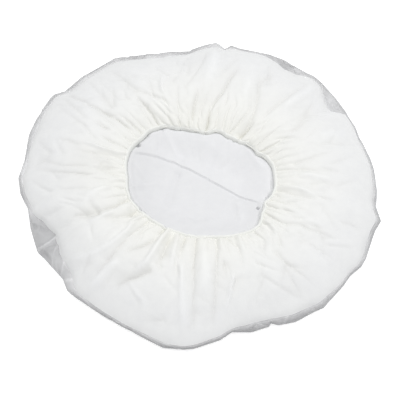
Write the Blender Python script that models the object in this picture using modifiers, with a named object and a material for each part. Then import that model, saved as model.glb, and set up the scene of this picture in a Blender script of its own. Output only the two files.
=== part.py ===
"""Rinse-free shampoo cap, lying on a table with its crown down and its opening up.

A bag of thin translucent film holds a white nonwoven liner of the same form. The open edges of both are
gathered together inside a narrow folded hem, round a ring of elastic. Where they turn in from the rim to the
hem they puff up in soft folds. Metres, +Z up. The origin is under the middle of the cap, where it rests.
"""

import math
from collections import namedtuple

import bmesh
import bpy
import numpy as np
from mathutils import Vector

# Driving dimensions of the cap as it lies, about the middle of its opening
CAP_RADIUS = 0.152
OPENING_RADIUS = 0.058
RIM_HEIGHT = 0.009
HEM_HEIGHT = 0.0165
PUFF_HEIGHT = 0.0275

# Walls, and the gaps between the pieces
FILM_WALL = 0.0010
LINER_WALL = 0.0012
HEM_WALL = 0.0010
LAYER_GAP = 0.0004
SEAT_GAP = 0.0004

# Hem and elastic
HEM_WIDTH = 0.0050
HEM_TAPER = 0.0016
HEM_MOUTH_GAP = 0.0012
HEM_WAVE = 0.0005
HEM_SCALLOP = 0.0007
ELASTIC_DIAMETER = 0.0012
ELASTIC_NOSE_ROOM = 0.0007

# Folds of the annulus, the turn of the rim, and the crown
FOLD_DEPTH = 0.0026
FOLD_FULL_SHARE = 0.25
SHOULDER_SHARE = 0.55
RIM_TURN = 0.009
LINER_SETBACK = 0.010
LINER_SETBACK_START = 0.45
CROWN_CREASE_HEIGHT = 0.0035
CROWN_CREASE_DEG = (151.0, 330.0)

# Sections of the rim by azimuth: reach in shares of CAP_RADIUS, setback of the liner's edge inside the film
# in shares of LINER_SETBACK, and height of the widest line in shares of RIM_HEIGHT
RimSection = namedtuple("RimSection", "deg reach setback height")
RIM = (
    RimSection(0, 0.970, 0.50, 1.00),
    RimSection(10, 0.972, 0.30, 0.95),
    RimSection(20, 0.960, 0.30, 1.05),
    RimSection(30, 0.973, 0.60, 1.15),
    RimSection(36, 0.987, 1.10, 1.10),
    RimSection(45, 1.010, 0.50, 1.00),
    RimSection(50, 1.024, 0.80, 1.05),
    RimSection(55, 1.016, 1.00, 1.00),
    RimSection(64, 1.030, 0.80, 0.95),
    RimSection(74, 1.020, 0.60, 1.00),
    RimSection(80, 1.033, 0.50, 1.10),
    RimSection(82, 1.012, 0.40, 0.90),
    RimSection(85, 1.036, 0.50, 1.10),
    RimSection(90, 1.009, 0.80, 1.00),
    RimSection(94, 0.971, 0.60, 0.90),
    RimSection(103, 0.988, 0.90, 1.00),
    RimSection(111, 1.013, 0.90, 1.05),
    RimSection(119, 1.048, 0.60, 1.00),
    RimSection(130, 1.040, 0.60, 0.95),
    RimSection(140, 1.034, 0.70, 0.95),
    RimSection(143, 1.074, 0.50, 1.15),
    RimSection(152, 1.055, 0.60, 1.05),
    RimSection(161, 1.034, 0.70, 1.00),
    RimSection(171, 1.004, 0.60, 0.95),
    RimSection(178, 1.014, 0.55, 1.10),
    RimSection(189, 0.964, 0.20, 0.90),
    RimSection(198, 0.969, 1.90, 1.00),
    RimSection(206, 0.979, 2.10, 1.20),
    RimSection(212, 0.955, 1.50, 1.00),
    RimSection(219, 0.946, 1.30, 0.95),
    RimSection(224, 0.970, 1.10, 1.10),
    RimSection(236, 0.965, 0.65, 1.00),
    RimSection(250, 0.986, 0.50, 1.00),
    RimSection(259, 1.027, 0.50, 1.10),
    RimSection(267, 1.019, 0.50, 1.05),
    RimSection(273, 0.983, 0.50, 0.95),
    RimSection(280, 0.932, 0.35, 0.90),
    RimSection(287, 0.950, 0.90, 1.00),
    RimSection(293, 0.942, 0.90, 0.95),
    RimSection(298, 0.980, 0.80, 1.05),
    RimSection(309, 1.000, 0.55, 1.05),
    RimSection(324, 0.976, 0.20, 0.95),
    RimSection(331, 0.997, 0.45, 1.10),
    RimSection(341, 0.986, 0.45, 1.00),
    RimSection(348, 0.998, 0.45, 1.10),
    RimSection(353, 0.967, 0.50, 0.95),
)

# Sections of the hem by azimuth: reach in shares of OPENING_RADIUS, height in shares of HEM_HEIGHT
HemSection = namedtuple("HemSection", "deg reach height")
HEM = (
    HemSection(0, 1.06, 0.98),
    HemSection(15, 1.03, 1.00),
    HemSection(30, 0.93, 1.03),
    HemSection(40, 0.90, 1.02),
    HemSection(60, 0.87, 1.00),
    HemSection(75, 0.87, 1.00),
    HemSection(86, 0.82, 1.02),
    HemSection(97, 0.86, 1.01),
    HemSection(110, 0.99, 1.00),
    HemSection(125, 1.11, 0.98),
    HemSection(150, 1.15, 1.00),
    HemSection(170, 1.08, 1.02),
    HemSection(190, 1.04, 1.00),
    HemSection(210, 0.99, 0.99),
    HemSection(230, 0.95, 1.00),
    HemSection(250, 0.93, 1.01),
    HemSection(270, 0.94, 1.00),
    HemSection(285, 0.97, 0.99),
    HemSection(300, 1.03, 1.00),
    HemSection(313, 1.09, 1.01),
    HemSection(325, 1.03, 1.00),
    HemSection(335, 0.96, 1.04),
    HemSection(345, 1.03, 1.00),
)

# Folds from the hem out: azimuth at the hem and at the rim, depth in shares of FOLD_DEPTH, and how far out
# each fold runs in shares of the way from the hem to the rim
Fold = namedtuple("Fold", "hem_deg rim_deg depth reach")
FOLDS = (
    Fold(5, 3, 0.5, 0.50),
    Fold(17, 19, 0.6, 0.40),
    Fold(28, 30, 1.0, 0.60),
    Fold(38, 38, 0.4, 0.75),
    Fold(47, 48, 0.5, 0.85),
    Fold(55, 60, 1.0, 0.90),
    Fold(64, 66, 0.5, 0.40),
    Fold(72, 73, 0.5, 0.60),
    Fold(80, 79, 0.9, 0.75),
    Fold(88, 86, 0.9, 0.60),
    Fold(97, 92, 0.8, 0.75),
    Fold(106, 103, 0.8, 0.60),
    Fold(114, 113, 0.6, 0.40),
    Fold(123, 124, 1.0, 0.85),
    Fold(132, 132, 0.5, 0.80),
    Fold(140, 142, 0.9, 1.00),
    Fold(149, 151, 0.6, 0.85),
    Fold(161, 166, 1.0, 0.70),
    Fold(170, 173, 0.5, 0.95),
    Fold(179, 179, 0.7, 0.85),
    Fold(188, 188, 0.6, 0.75),
    Fold(198, 204, 1.0, 0.85),
    Fold(212, 213, 0.7, 0.40),
    Fold(225, 227, 0.9, 0.75),
    Fold(237, 236, 0.8, 0.50),
    Fold(246, 244, 1.0, 0.80),
    Fold(257, 258, 0.7, 0.65),
    Fold(267, 268, 1.0, 0.95),
    Fold(280, 280, 0.7, 0.90),
    Fold(293, 291, 0.8, 0.60),
    Fold(301, 303, 0.5, 0.90),
    Fold(309, 312, 0.7, 0.90),
    Fold(317, 319, 0.5, 0.50),
    Fold(327, 330, 1.0, 0.85),
    Fold(336, 339, 0.5, 0.90),
    Fold(348, 348, 0.8, 0.60),
)

# Stations from the hem out to the rim: share of the way, share of the rise from the hem to the top of the
# puff, and share of the drop from there to the rim
Station = namedtuple("Station", "share rise drop")
PUFF = (
    Station(0.15, 0.62, 0.00),
    Station(0.38, 1.00, 0.00),
    Station(0.64, 1.00, 0.20),
    Station(0.86, 1.00, 0.60),
    Station(1.00, 1.00, 1.00),
)

# The under side from the rim in: shares of RIM_TURN and of the rim's height
Turn = namedtuple("Turn", "inward height")
RIM_UNDER = (Turn(0.22, 0.30), Turn(1.00, 0.00))

# Rings of the crown, which have one point for each fold: shares of the crown's radius, and of the crease
Ring = namedtuple("Ring", "reach crease")
FILM_CROWN = (Ring(0.50, 0.00),)
LINER_CROWN = (Ring(0.72, 0.60), Ring(0.36, 1.00))

COLUMNS_PER_FOLD = 3
Column = namedtuple("Column", "hem_deg rim_deg wave reach")

# The hem grips film and liner from above and below
STACK = FILM_WALL + LAYER_GAP + LINER_WALL
CHANNEL_HALF = STACK / 2 + SEAT_GAP
ELASTIC_OUT = HEM_WALL + ELASTIC_NOSE_ROOM + ELASTIC_DIAMETER / 2
EDGE_OUT = ELASTIC_OUT + ELASTIC_DIAMETER / 2 + SEAT_GAP


def clear_scene():
    for thing in list(bpy.data.objects):
        bpy.data.objects.remove(thing, do_unlink=True)


def by_azimuth(table, name, degrees):
    """The named column of a table, read at an azimuth between its rows."""
    angles = [row.deg for row in table]
    values = [getattr(row, name) for row in table]
    return float(np.interp(degrees % 360, angles, values, period=360))


def polar(radius, degrees, height):
    angle = math.radians(degrees)
    return Vector((radius * math.cos(angle), radius * math.sin(angle), height))


def fold_columns():
    """The columns of the mesh: the valley of each fold and two shoulders before the next."""
    columns = []
    for index, fold in enumerate(FOLDS):
        after = FOLDS[(index + 1) % len(FOLDS)]
        lap = 360 if index + 1 == len(FOLDS) else 0
        for step in range(COLUMNS_PER_FOLD):
            part = step / COLUMNS_PER_FOLD
            nearer = fold if part < 0.5 else after
            wave = nearer.depth * (SHOULDER_SHARE if step else -1.0)
            hem_deg = fold.hem_deg + part * (after.hem_deg + lap - fold.hem_deg)
            rim_deg = fold.rim_deg + part * (after.rim_deg + lap - fold.rim_deg)
            columns.append(Column(hem_deg, rim_deg, wave, nearer.reach))
    return columns


def fold_lift(column, share):
    """How far a fold raises or lowers the annulus: it swells outside the hem and fades out at its reach."""
    swell = HEM_WAVE + (FOLD_DEPTH - HEM_WAVE) * min(1.0, share / FOLD_FULL_SHARE)
    fade = max(0.0, 1.0 - (share / column.reach) ** 2)
    return column.wave * swell * fade


def hem_radius(column):
    """The inner edge of the hem, drawn in a little where the cloth puffs between two tucks."""
    return OPENING_RADIUS * by_azimuth(HEM, "reach", column.hem_deg) - HEM_SCALLOP * column.wave


def hem_height(column):
    return HEM_HEIGHT * by_azimuth(HEM, "height", column.hem_deg) + fold_lift(column, 0.0)


def rim_radius(column):
    return CAP_RADIUS * by_azimuth(RIM, "reach", column.rim_deg)


def film_rows(columns):
    """The film's outer face: from its edge in the hem, over the puff and round the rim, to the crown."""
    rows = []
    for out in (EDGE_OUT, HEM_WIDTH + HEM_MOUTH_GAP):
        rows.append([polar(hem_radius(c) + out, c.hem_deg, hem_height(c) + STACK / 2) for c in columns])
    for station in PUFF:
        rows.append([puff_point(column, station) for column in columns])
    for turn in RIM_UNDER:
        rows.append([under_point(column, turn) for column in columns])
    return rows


def puff_point(column, station):
    start = hem_radius(column) + HEM_WIDTH + HEM_MOUTH_GAP
    radius = start + station.share * (rim_radius(column) - start)
    degrees = column.hem_deg + station.share * (column.rim_deg - column.hem_deg)
    hem_top = HEM_HEIGHT * by_azimuth(HEM, "height", column.hem_deg) + STACK / 2
    rim = RIM_HEIGHT * by_azimuth(RIM, "height", column.rim_deg)
    height = hem_top + station.rise * (PUFF_HEIGHT - hem_top) - station.drop * (PUFF_HEIGHT - rim)
    return polar(radius, degrees, height + fold_lift(column, station.share))


def under_point(column, turn):
    height = turn.height * RIM_HEIGHT * by_azimuth(RIM, "height", column.rim_deg)
    return polar(rim_radius(column) - turn.inward * RIM_TURN, column.rim_deg, height)


def crown_rings(edge, rings, floor, crease):
    """Rings inside the last row, one point for each fold, raised to a crease along two of them."""
    ends = [min(range(len(FOLDS)), key=lambda i: abs(FOLDS[i].rim_deg - deg)) for deg in CROWN_CREASE_DEG]
    made = []
    for ring in rings:
        points = [ring.reach * edge[index * COLUMNS_PER_FOLD] for index in range(len(FOLDS))]
        for index, point in enumerate(points):
            point.z = floor + (crease * ring.crease if index in ends else 0.0)
        made.append(points)
    return made


def bag_mesh(name, rows, rings, middle):
    """A bag as an open surface: rows of points joined all round, then the crown's rings and its middle."""
    mesh = bmesh.new()
    loops = [[mesh.verts.new(point) for point in row] for row in rows + rings]
    for upper, lower in zip(loops[: len(rows)], loops[1 : len(rows)]):
        bridge(mesh, upper, lower)
    edge = loops[len(rows) - 1]
    first = loops[len(rows)]
    count = len(first)
    for index in range(count):
        start = index * COLUMNS_PER_FOLD
        a, b, c, d = (edge[(start + step) % len(edge)] for step in range(COLUMNS_PER_FOLD + 1))
        inner, inner_next = first[index], first[(index + 1) % count]
        mesh.faces.new((a, inner, b))
        mesh.faces.new((b, inner, inner_next, c))
        mesh.faces.new((c, inner_next, d))
    for upper, lower in zip(loops[len(rows) :], loops[len(rows) + 1 :]):
        bridge(mesh, upper, lower)
    last = loops[-1]
    centre = mesh.verts.new(middle)
    for index in range(count):
        mesh.faces.new((last[index], centre, last[(index + 1) % count]))
    return finished_mesh(name, mesh)


def bridge(mesh, upper, lower):
    """Quads between two loops with as many points each."""
    count = len(upper)
    for index in range(count):
        after = (index + 1) % count
        mesh.faces.new((upper[index], lower[index], lower[after], upper[after]))


def finished_mesh(name, mesh):
    data = bpy.data.meshes.new(name)
    mesh.normal_update()
    mesh.to_mesh(data)
    mesh.free()
    data.shade_smooth()
    return data


def inset_points(data, distance):
    """The surface's points, moved in along their normals so that the gap stays even at the creases."""
    mesh = bmesh.new()
    mesh.from_mesh(data)
    mesh.normal_update()
    points = [v.co - v.normal * v.calc_shell_factor() * distance for v in mesh.verts]
    mesh.free()
    return points


def liner_rows(columns, film_data, row_count):
    """The liner's outer face: just inside the film, and drawn in from its rim by the setback."""
    points = inset_points(film_data, FILM_WALL + LAYER_GAP)
    shares = [0.0, 0.0] + [station.share for station in PUFF] + [1.0] * len(RIM_UNDER)
    rows = []
    for index in range(row_count):
        start = index * len(columns)
        row = points[start : start + len(columns)]
        pull = max(0.0, (shares[index] - LINER_SETBACK_START) / (1.0 - LINER_SETBACK_START))
        rows.append([drawn_in(p, c, pull) for p, c in zip(row, columns)])
    return rows


def drawn_in(point, column, pull):
    setback = LINER_SETBACK * by_azimuth(RIM, "setback", column.rim_deg)
    outward = Vector((point.x, point.y, 0.0)).normalized()
    return point - outward * (pull * setback)


def hem_rows(columns):
    """The channel's inner face as a strip: lower lip, nose, upper lip."""
    profile = (
        (HEM_WIDTH, -CHANNEL_HALF),
        (HEM_WALL + HEM_TAPER, -CHANNEL_HALF),
        (HEM_WALL, 0.0),
        (HEM_WALL + HEM_TAPER, CHANNEL_HALF),
        (HEM_WIDTH, CHANNEL_HALF),
    )
    return [
        [polar(hem_radius(c) + out, c.hem_deg, hem_height(c) + up) for c in columns]
        for out, up in profile
    ]


def strip_mesh(name, rows):
    mesh = bmesh.new()
    loops = [[mesh.verts.new(point) for point in row] for row in rows]
    for upper, lower in zip(loops, loops[1:]):
        bridge(mesh, upper, lower)
    return finished_mesh(name, mesh)


def shell(data, wall, side):
    """An object with this surface given a wall: side is 1 outside the surface, -1 inside it."""
    piece = bpy.data.objects.new(data.name, data)
    solidify = piece.modifiers.new("wall", "SOLIDIFY")
    solidify.thickness = wall
    solidify.offset = side
    solidify.use_even_offset = True
    return piece


def elastic_ring(name, columns):
    curve = bpy.data.curves.new(name, "CURVE")
    curve.dimensions = "3D"
    curve.bevel_depth = ELASTIC_DIAMETER / 2
    curve.bevel_resolution = 1
    spline = curve.splines.new("POLY")
    spline.points.add(len(columns) - 1)
    for point, column in zip(spline.points, columns):
        place = polar(hem_radius(column) + ELASTIC_OUT, column.hem_deg, hem_height(column))
        point.co = (*place, 1.0)
    spline.use_cyclic_u = True
    return bpy.data.objects.new(name, curve)


def material(name, colour, roughness, alpha=1.0):
    made = bpy.data.materials.new(name)
    made.use_nodes = True
    shader = made.node_tree.nodes["Principled BSDF"]
    shader.inputs["Base Color"].default_value = (*colour, 1.0)
    shader.inputs["Metallic"].default_value = 0.0
    shader.inputs["Roughness"].default_value = roughness
    shader.inputs["Alpha"].default_value = alpha
    return made


def middle_of(points):
    """The middle of the points' box seen from above."""
    xs = [point.x for point in points]
    ys = [point.y for point in points]
    return Vector(((min(xs) + max(xs)) / 2, (min(ys) + max(ys)) / 2, 0.0))


def build():
    clear_scene()
    columns = fold_columns()

    rows = film_rows(columns)
    rings = crown_rings(rows[-1], FILM_CROWN, 0.0, 0.0)
    film_data = bag_mesh("outer_film", rows, rings, Vector())
    film = shell(film_data, FILM_WALL, -1)
    film.data.materials.append(material("film", (0.80, 0.82, 0.84), 0.35, alpha=0.6))

    floor = FILM_WALL + LAYER_GAP
    liner_loops = liner_rows(columns, film_data, len(rows))
    crease = CROWN_CREASE_HEIGHT
    liner_rings = crown_rings(liner_loops[-1], LINER_CROWN, floor, crease)
    top = Vector((0.0, 0.0, floor + crease))
    liner = shell(bag_mesh("nonwoven_liner", liner_loops, liner_rings, top), LINER_WALL, -1)
    liner.data.materials.append(material("nonwoven", (0.88, 0.89, 0.88), 0.85))

    hem = shell(strip_mesh("hem_casing", hem_rows(columns)), HEM_WALL, 1)
    hem.data.materials.append(material("hem_cloth", (0.86, 0.87, 0.85), 0.8))

    elastic = elastic_ring("elastic_cord", columns)
    elastic.data.materials.append(material("elastic", (0.80, 0.80, 0.78), 0.6))

    middle = middle_of([point for row in rows for point in row])
    collection = bpy.data.collections.new("shampoo_cap")
    bpy.context.scene.collection.children.link(collection)
    for piece in (film, liner, hem, elastic):
        piece.location = -middle
        collection.objects.link(piece)


build()
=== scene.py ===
"""Looks of the rinse-free shampoo cap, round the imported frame.

The cap lies crown down with its opening up. A nonwoven liner bag sits in a slightly larger bag of thin film.
Both are drawn together at a ruffled hem, so they puff up in folds that run out from it. The film reaches a
little beyond the liner all round, as a grey, crinkled rim.
"""

import math
from collections import namedtuple

import bpy
import numpy as np
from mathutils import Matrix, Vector


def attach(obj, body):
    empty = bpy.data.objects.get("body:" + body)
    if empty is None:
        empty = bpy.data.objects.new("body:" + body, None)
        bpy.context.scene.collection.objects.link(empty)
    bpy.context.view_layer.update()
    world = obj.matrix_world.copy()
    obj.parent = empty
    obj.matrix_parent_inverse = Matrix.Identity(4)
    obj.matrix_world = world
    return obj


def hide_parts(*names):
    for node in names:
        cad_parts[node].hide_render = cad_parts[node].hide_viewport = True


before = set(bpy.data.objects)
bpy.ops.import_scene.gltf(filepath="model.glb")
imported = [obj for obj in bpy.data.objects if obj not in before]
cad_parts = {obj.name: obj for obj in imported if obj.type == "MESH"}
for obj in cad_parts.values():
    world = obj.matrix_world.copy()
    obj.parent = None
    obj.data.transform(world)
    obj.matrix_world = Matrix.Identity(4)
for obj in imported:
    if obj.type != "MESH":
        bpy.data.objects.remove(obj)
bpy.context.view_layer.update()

MM = 0.001

# The middle of the opening in the frame, which every azimuth below is taken about. Angles are in degrees and
# lengths in mm, unless a comment says otherwise
POLE = Vector((0.0031, -0.0010, 0.0))

# The cap's radius as it lies, in metres
CAP_RADIUS = 0.16

# Mesh of the bags: columns go round, rows go out from the hem, spaced by this power
COLUMNS = 640
TUCK_ROWS = 3
ANNULUS_ROWS = 68
TURN_ROWS = 7
CROWN_ROWS_HIDDEN = 9
CROWN_ROWS_SEEN = 66
FREE_ROWS = 16
FILM_TURN_ROWS = 5
FILM_UNDER_ROWS = 22
ROW_SPACING = 1.15

# A place round the cap where there is most of something, and a stretch that starts, is full, fades and ends
Place = namedtuple("Place", "deg half amount")
Stretch = namedtuple("Stretch", "start full fade end amount")

# Random facets round the cap, whose edges slant by up to shear degrees over all the rows, slow random
# waves, and an amount that is reached between a start and an end
Facets = namedtuple("Facets", "seed count shear")
Waves = namedtuple("Waves", "seed count height")
Step = namedtuple("Step", "amount start end")

# The annulus between hem and rim: its usual width, its heights above the table, the powers that round it,
# and how far it turns under
ANNULUS_WIDTH = 90.0
PUFF_TOP = 27.2
PUFF_TOP_SHARE = 0.37
PUFF_RISE_POWER = 0.85
PUFF_FALL_POWERS = (1.2, 0.9)
PUFF_WAVES = Waves(5, 9, 1.2)
LINER_EDGE_HEIGHT = 8.0
LINER_TURN = 7.0

# Shares of the way out between which the folds fade at the rim, the waves begin, and the folds leave the
# hem, which holds them down by this part
RIM_FADE = (0.86, 1.0)
WAVES_BEGIN = (0.0, 0.3)
HEM_LEFT = (0.0, 0.05)
HEM_HOLDS = 0.25

# The lip where the annulus meets the hem: its height, how far out it is, and what the far side adds to each
LIP_HEIGHT = 18.5
LIP_HEIGHT_FAR = -0.3
LIP_OUT = 1.95
LIP_OUT_FAR = -0.95

# The hem's roll, which is thinner at the far side, what a gather's nip and a ruffle do to it, how wide a
# nip is and how deep a crease is that nips fully, and the bags' pleated edge inside the roll
HEM_HALF_WIDTH = 1.8
HEM_HALF_HEIGHT = 3.7
HEM_MIDDLE_HEIGHT = 16.0
HEM_SIDES = 24
HEM_RUFFLES = Facets(21, 110, 0.0)
HEM_WAVES = Waves(8, 8, 0.8)
HEM_THINNER_FAR = 0.22
HemChange = namedtuple("HemChange", "width height outwards up")
NIP = HemChange(-0.20, -0.12, 0.25, -0.30)
RUFFLE = HemChange(0.10, 0.0, 0.0, 0.35)
NIP_HALF_WIDTH = 1.3
NIP_FULL_DEPTH = 2.2
NIP_MOST = 1.6
PLEATS = 120
PLEAT_DEPTH = 1.5

# The liner's crown: its heights under the annulus, in the middle, and in a ring along the hem
CROWN_REST = 1.5
CROWN_MIDDLE = 7.6
CROWN_RING = 15.0
CROWN_SEEN_RADIUS = 72.0

# The crown comes down to its rest between these multiples of the hem's reach. The ring along the hem rises,
# and drops by two parts under the annulus, between these lengths beyond the hem's inner edge
CROWN_SPREAD = (1.02, 1.45)
RING_RISE = Step(CROWN_RING - CROWN_MIDDLE, -30.0, -1.0)
RING_DROP = Step(0.32, -1.0, 1.5)
RING_LAST_DROP = Step(0.68, 2.5, 12.0)

# The dark line where the crown meets the hem: small dents all round, and a groove at the right with a break.
# The ring is higher at the break, at the left and at the far side, so that the line is thinner there. The
# groove and the close places also start and end at lengths beyond the hem's inner edge
CROWN_BEADS = Facets(41, 50, 0.0)
CROWN_BEAD_DEPTH = 1.8
GROOVE = Place(-22.0, 20.0, 2.8)
GROOVE_BREAK = Place(335.5, 5.0, 0.9)
CLOSE_LEFT = Place(188.0, 35.0, 3.0)
CLOSE_BREAK = Place(335.5, 5.0, 2.0)
CLOSE_FAR = 0.4
GROOVE_SIDE = (-3.4, -1.0)
CLOSE_SIDE = (-6.0, -0.5)

# The fold across the crown: its lip's height, its trough's depth as a share of that, how far both reach, the
# step between them, and where the fold starts and ends from left to right
FOLD_DEPTH = 1.15
FOLD_TROUGH = 0.6
FOLD_LIP_SIDE = 9.0
FOLD_TROUGH_SIDE = 6.0
FOLD_STEP = (-1.0, 0.1)
FOLD_START = (-60.0, -50.0)
FOLD_END = (41.0, 54.0)

# How the cloth settles: how much wider than its place it is by share of the way out, how much longer it is,
# the steps, how firm its threads, slant threads and bends are, how much limper it is at the rim, its puff,
# its hold and the most it moves
FULLNESS_SHARES = (0.0, 0.15, 0.35, 0.6, 0.9, 1.0)
FULLNESS = (0.40, 0.28, 0.16, 0.10, 0.05, 0.0)
LENGTH_FULLNESS = 1.01
CLOTH_STEPS = 300
CLOTH_FIRMNESS = 0.9
CLOTH_SHEAR = 0.15
CLOTH_STIFFNESS = ((1, 0.12), (2, 0.04))
CLOTH_LENGTH_STIFFNESS = 0.05
CLOTH_LIMPER = 0.7
CLOTH_PUFF = 0.01
CLOTH_HOLD = 0.03
CLOTH_MOST = 6.0

# The film: its gap to the liner, which widens at the liner's edge, its rim, how far it turns under, and the
# heights of its crinkles, which are full where the free film is as wide as CRINKLE_ROOM
LAYER_GAP = 0.45
EDGE_CLEARANCE = 1.0
FILM_RIM_HEIGHT = 7.4
FILM_TURN = 8.0
FILM_REST = 0.5
RIM_STEPS = Facets(31, 90, 0.0)
BROAD_CRINKLES = Facets(32, 110, 5.0)
FINE_CRINKLES = Facets(33, 200, 6.0)
UNDER_CRINKLES = Facets(34, 150, 6.0)
RIM_STEP_HEIGHT = 1.2
FINE_HEIGHT = 0.5
UNDER_HEIGHT = 0.35
CRINKLE_ROOM = 8.0
CRINKLE_RANGE = (0.3, 1.6)

# Stiff folds of the film where it lies wide of the liner, from an azimuth at the liner's edge to one at the
# rim, with the width in degrees
FilmFold = namedtuple("FilmFold", "deg rim_deg height width")
FILM_FOLDS = (
    FilmFold(203.0, 206.0, 1.6, 0.45),
    FilmFold(205.8, 213.5, 0.8, 0.40),
    FilmFold(213.4, 218.0, 0.6, 0.40),
    FilmFold(221.5, 220.0, 0.6, 0.50),
    FilmFold(288.0, 291.0, 0.8, 0.40),
    FilmFold(299.0, 296.5, 0.7, 0.40),
)

# How white and how dense the film looks over the liner, at the liner's edge, what the near side adds there,
# and how it looks where it is free and under the cap. The free film's grey, and the darker grey under the
# cap, are painted shade and painted reflection of the clear film. FILM_BLEND is how wide the edge's look
# fades out
FilmLook = namedtuple("FilmLook", "white dense")
FILM_OVER = FilmLook(0.88, 0.10)
FILM_EDGE = FilmLook(0.86, 0.45)
FILM_EDGE_NEAR = FilmLook(-0.06, 0.1)
FILM_FREE = FilmLook(0.52, 0.58)
FILM_UNDER_SHADED_WHITE = FILM_FREE.white - 0.1
FILM_BLEND = 2.8

# What the free film's crinkles, folds and streaks add: painted highlights where light glints on them, and on
# the folds partly a real double layer. Its rim is darker, more so on the near side, as painted shade
CRINKLE_HIGHLIGHT = 0.15
FOLD_HIGHLIGHT_AND_LAYER = FilmLook(0.10, 0.12)
GLINT_STREAKS = Facets(35, 260, 14.0)
GLINT_STREAK_WHITE = 0.35
GLINT_STREAK_FROM = 0.35
GLINT_STREAK_MOST = 0.6
RIM_PAINTED_SHADE = -0.13
RIM_PAINTED_SHADE_NEAR = -0.14

# The smooth patch of film at the near left, and stretches that are whiter than the rest
SMOOTH_FILM = Stretch(186.0, 190.0, 210.0, 214.0, 1.0)
WHITER_FILM = (
    Stretch(184.0, 187.0, 190.0, 196.0, 0.16),
    Stretch(210.0, 214.0, 224.0, 228.0, 0.10),
)

# Places where the free film is whiter or darker, with the shares of the way to the rim where that starts and
# is full. The last one is full everywhere
FilmPlace = namedtuple("FilmPlace", "place start full")
FILM_PLACES = (
    FilmPlace(Place(207.5, 1.6, -0.07), 0.1, 0.5),
    FilmPlace(Place(261.0, 5.0, -0.12), 0.1, 0.6),
    FilmPlace(Place(66.0, 14.0, 0.06), -1.0, 0.0),
)

# A length at an azimuth, for the outlines that follow
At = namedtuple("At", "deg mm")

# Corners of the film's rim seen from above
RIM = [At(*row) for row in (
    (7, 148), (12, 147.4), (19, 145.9), (25, 147.5), (32, 149.6), (46, 154.8), (50, 156.4),
    (53, 155.2), (62, 158), (67, 158.2), (77, 156.8), (80, 158.4), (82, 153.2), (85, 158.8),
    (89, 155.9), (93, 151.8), (94, 149.6), (101, 150.4), (105, 150.5), (109, 153.8), (119, 159.6),
    (132, 158.3), (140, 157.3), (142, 163.1), (144, 163.5), (153, 160.1), (160, 157.9), (171, 152.5),
    (177, 154.3), (183, 151.2), (189, 145.6), (197, 146.4), (206, 148), (209, 145.4), (219, 142.9),
    (223, 146.6), (227, 146.4), (238, 145.4), (245, 146.8), (259, 154.6), (265, 153.6), (268, 152.4),
    (276, 145.6), (280, 140), (286, 143.6), (292, 143.4), (293, 141), (295, 145.2), (300, 148.6),
    (310, 151.3), (320, 149.2), (324, 148.3), (329, 151.6), (332, 151.6), (343, 149.7), (347, 152.9),
    (352, 147.1), (358, 147.8),
)]

# How far the liner's edge stays inside the film's rim
SETBACK = [At(*row) for row in (
    (0, 3.4), (12, 2.8), (26, 1.7), (31, 2.2), (33, 7), (35, 12), (41, 8.8),
    (45, 4.2), (49, 3.6), (52, 5), (55, 8), (60, 10), (63, 7.6), (69, 4),
    (80, 4.2), (90, 5.2), (104, 5.7), (112, 6.2), (124, 3.2), (138, 4.2), (150, 3.7),
    (158, 5.2), (166, 3), (180, 3.6), (188, 4), (191, 3.2), (193, 6.5), (195, 11),
    (199, 14.6), (202, 18.6), (205, 17.2), (207, 17), (210, 12.4), (213, 10.6), (217, 9.6),
    (221, 8), (227, 3.8), (234, 2.6), (246, 2.2), (258, 3.6), (264, 2), (274, 2.8),
    (280, 2.8), (283, 4.6), (287, 6.8), (290, 6.2), (293, 4.6), (297, 6.2), (305, 5.6),
    (311, 4.6), (318, 2.9), (323, 2.4), (335, 3.4), (350, 3.8),
)]

# The hem's inner edge seen from above
HEM = [At(*row) for row in (
    (5, 60.6), (13, 60.9), (25, 58), (30, 54.2), (36, 55.3), (44, 54.6), (49, 50.8),
    (56, 50.6), (65, 50.4), (70, 52.3), (76, 52.6), (81, 49.5), (86, 48.4), (91, 49.6),
    (94, 51.8), (99, 52.6), (105, 56), (110, 57), (114, 60), (119, 64), (124, 64.8),
    (132, 66.9), (137, 65.4), (144, 66.3), (153, 66.8), (160, 65.4), (167, 63.7), (178, 60.4),
    (190, 60.6), (200, 59.8), (210, 57.4), (220, 55.9), (230, 54.7), (240, 54), (250, 54),
    (260, 54.6), (270, 55), (280, 56), (290, 58.6), (300, 61.2), (308, 63.8), (315, 64.4),
    (319, 63.2), (326, 59), (331, 58.8), (336, 56), (343, 59.2), (353, 61),
)]

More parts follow.
